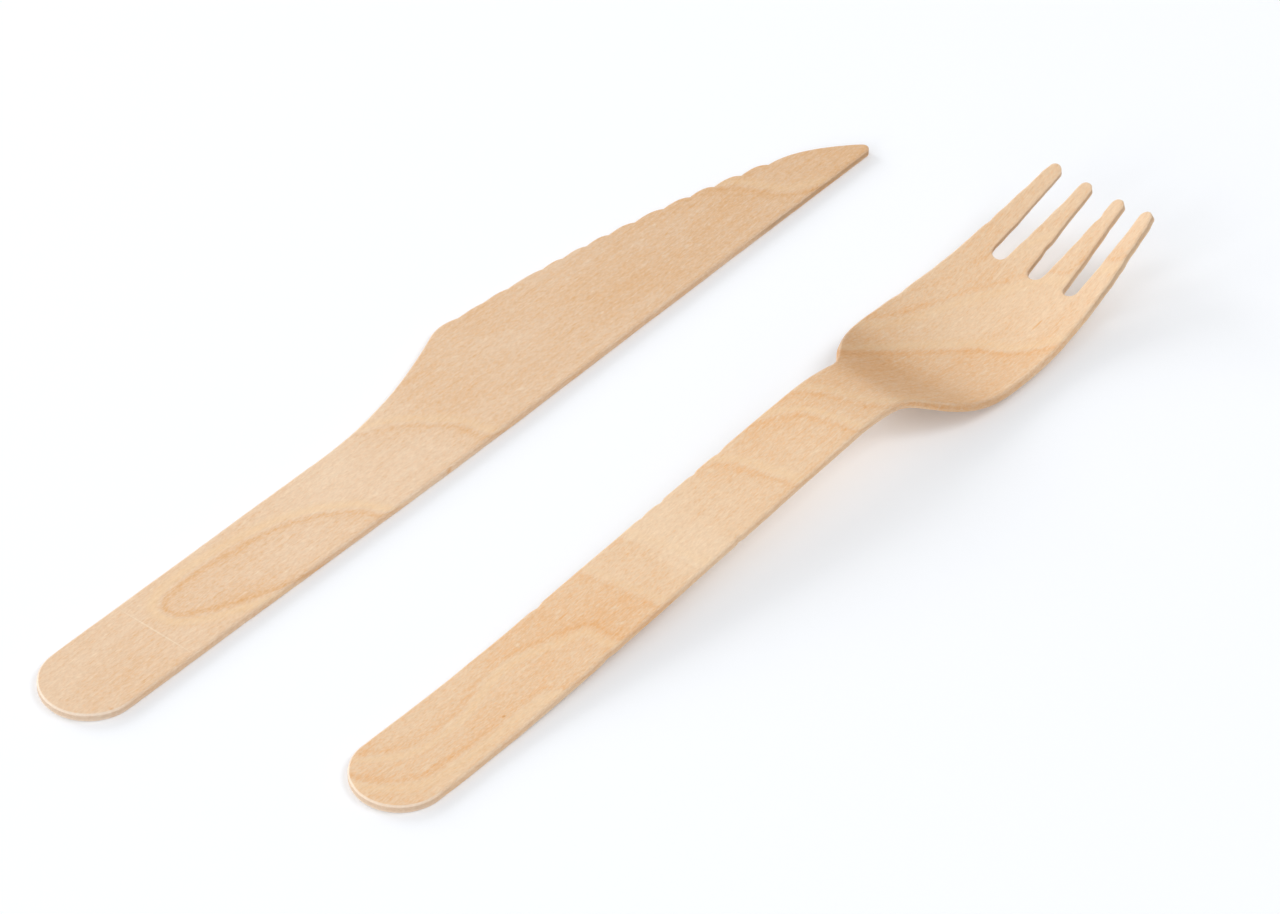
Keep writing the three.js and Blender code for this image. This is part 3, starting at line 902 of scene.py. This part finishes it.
def dress(piece, blank, material, lines, tones_and_shade, lightness_and_shade, seed, node):
    """Stores what the wood's material reads, hangs the piece under the root body and hides the CAD
    part that it stands for.
    """
    rise = np.clip((HALF_SHEET - np.abs(blank[:, 2])) / TOP_ROUND, 0, 1)
    wall = np.clip(2 * rise - 1, 0, 1)
    rim = np.where(rise > 0, 1 - wall, 0)
    end = np.clip((END_WEAR_LENGTH - blank[:, 1]) / END_WEAR_FADE, 0, 1)
    tip = np.clip((blank[:, 1] - TIP_WALLS_FROM) / TIP_WALLS_FADE, 0, 1)
    along = blank[:, 1] + (blank[:, 2] - HALF_SHEET) * TILT
    # The walls are darker near the handles' ends, and carry painted shade near the tips
    wall_light = 1 - wall * (END_WALL_DARKNESS * end + TIP_WALL_PAINTED_SHADE * tip)
    put(piece, "blank", blank)
    put(piece, "wall", wall)
    put(piece, "rim", rim)
    # Rims rubbed pale and given a painted sheen, most at the handles' round ends
    put(piece, "rubbed_and_sheen", rim * (RIM_WEAR_AND_SHEEN + END_RIM_WEAR_AND_SHEEN * end) + END_WALL_WEAR_AND_SHEEN * wall * end)
    put(piece, "figure", figure(blank, lines, seed))
    # The colour's drift along each piece, with painted shade on the fork's head slope
    put(piece, "drift_and_shade", np.interp(along, *zip(*tones_and_shade)))
    # The lightness is partly painted shade along each piece, times the walls' darkening
    put(piece, "lightness_and_shade", np.interp(along, *zip(*lightness_and_shade)) * wall_light)
    piece.data.materials.append(material)
    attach(piece, "root")
    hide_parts(node)


# Seeds of the torn walls and of the growth lines' wavering
KNIFE_TEAR_SEED = 2.5
KNIFE_LINE_SEED = 4.2
FORK_TEAR_SEED = 9.5
FORK_LINE_SEED = 8.8


def make_knife():
    knife, blank = build_sheet("knife_birch", knife_outline(), knife_waves, lay_knife, KNIFE_TEAR_SEED)
    wood = birch("birch_knife", KNIFE_COLOURS, KNIFE_CUT_AT, KNIFE_MARKS)
    dress(knife, blank, wood, KNIFE_LINES, KNIFE_TONES, KNIFE_LIGHTNESS_AND_SHADE, KNIFE_LINE_SEED, "knife")


def make_fork():
    fork, blank = build_sheet("fork_birch", fork_outline(), fork_waves, lay_fork, FORK_TEAR_SEED)
    wood = birch("birch_fork", FORK_COLOURS, FORK_CUT_AT, FORK_MARKS)
    dress(fork, blank, wood, FORK_LINES, FORK_TONES_AND_SHADE, FORK_LIGHTNESS_AND_SHADE, FORK_LINE_SEED, "fork")


# The studio, in metres: a bright floor under soft boxes
FLOOR_COLOUR = (0.82, 0.84, 0.87, 1)
FLOOR_GLOW = 0.105
FLOOR_ROUGHNESS = 0.9
FLOOR_GLOSS = 0.1
FLOOR_HALF = 2.5
FLOOR_DROP = 0.05 * MM
SKY_STRENGTH = 0.45

# Each soft box's compass angle from +X, height angle and watts. Most light comes low from -X and -Y
SOFTBOXES = {
    "left": (180, 22, 5.7),
    "left_front": (225, 22, 2.8),
    "front": (270, 22, 3.9),
    "right_front": (315, 22, 0.9),
    "right": (0, 52, 1.3),
    "right_back": (45, 52, 3.6),
    "left_back": (135, 22, 1.4),
}
SOFTBOX_SIZE = 0.62
SOFTBOX_DISTANCE = 1.2

# The camera of the photograph: its angles in degrees, and what it looks at, in millimetres
CAMERA_AZIMUTH = 40.53
CAMERA_ELEVATION = 40.8
CAMERA_TARGET = (3.3, 5.61, -0.35)
CAMERA_DISTANCE = 0.9768
CAMERA_SENSOR = 36
CAMERA_LENS = 196.875


def make_floor():
    material = bpy.data.materials.new("studio_white")
    material.use_nodes = True
    shader = material.node_tree.nodes["Principled BSDF"]
    shader.inputs["Base Color"].default_value = FLOOR_COLOUR
    shader.inputs["Emission Color"].default_value = grey(1)
    shader.inputs["Emission Strength"].default_value = FLOOR_GLOW
    shader.inputs["Roughness"].default_value = FLOOR_ROUGHNESS
    shader.inputs["Specular IOR Level"].default_value = FLOOR_GLOSS
    mesh = bpy.data.meshes.new("floor")
    signs = ((-1, -1), (1, -1), (1, 1), (-1, 1))
    corners = [(x * FLOOR_HALF, y * FLOOR_HALF, -FLOOR_DROP) for x, y in signs]
    mesh.from_pydata(corners, [], [(0, 1, 2, 3)])
    floor = bpy.data.objects.new("floor", mesh)
    bpy.context.collection.objects.link(floor)
    mesh.materials.append(material)


def direction(azimuth, height):
    """The way to a place at this compass angle from +X and this height angle, in degrees."""
    azimuth = math.radians(azimuth)
    height = math.radians(height)
    level = math.cos(height)
    return Vector((math.cos(azimuth) * level, math.sin(azimuth) * level, math.sin(height)))


def aim(thing, place, target):
    thing.location = place
    thing.rotation_euler = (Vector(target) - Vector(place)).to_track_quat("-Z", "Y").to_euler()
    bpy.context.collection.objects.link(thing)


def softbox(name, azimuth, height, power):
    light = bpy.data.lights.new(name, "AREA")
    light.shape = "DISK"
    light.size = SOFTBOX_SIZE
    light.energy = power
    aim(bpy.data.objects.new(name, light), direction(azimuth, height) * SOFTBOX_DISTANCE, (0, 0, 0))


def make_studio():
    make_floor()
    for name, (azimuth, height, power) in SOFTBOXES.items():
        softbox(name, azimuth, height, power)
    world = bpy.data.worlds.new("studio")
    world.use_nodes = True
    world.node_tree.nodes["Background"].inputs["Color"].default_value = grey(1)
    world.node_tree.nodes["Background"].inputs["Strength"].default_value = SKY_STRENGTH
    bpy.context.scene.world = world
    bpy.context.scene.view_settings.view_transform = "Standard"


def make_camera():
    camera = bpy.data.cameras.new("camera")
    camera.sensor_fit = "HORIZONTAL"
    camera.sensor_width = CAMERA_SENSOR
    camera.lens = CAMERA_LENS
    eye = bpy.data.objects.new("camera", camera)
    target = Vector(CAMERA_TARGET) * MM
    aim(eye, target + direction(CAMERA_AZIMUTH - 90, CAMERA_ELEVATION) * CAMERA_DISTANCE, target)
    bpy.context.scene.camera = eye


make_camera()
make_studio()
make_knife()
make_fork()
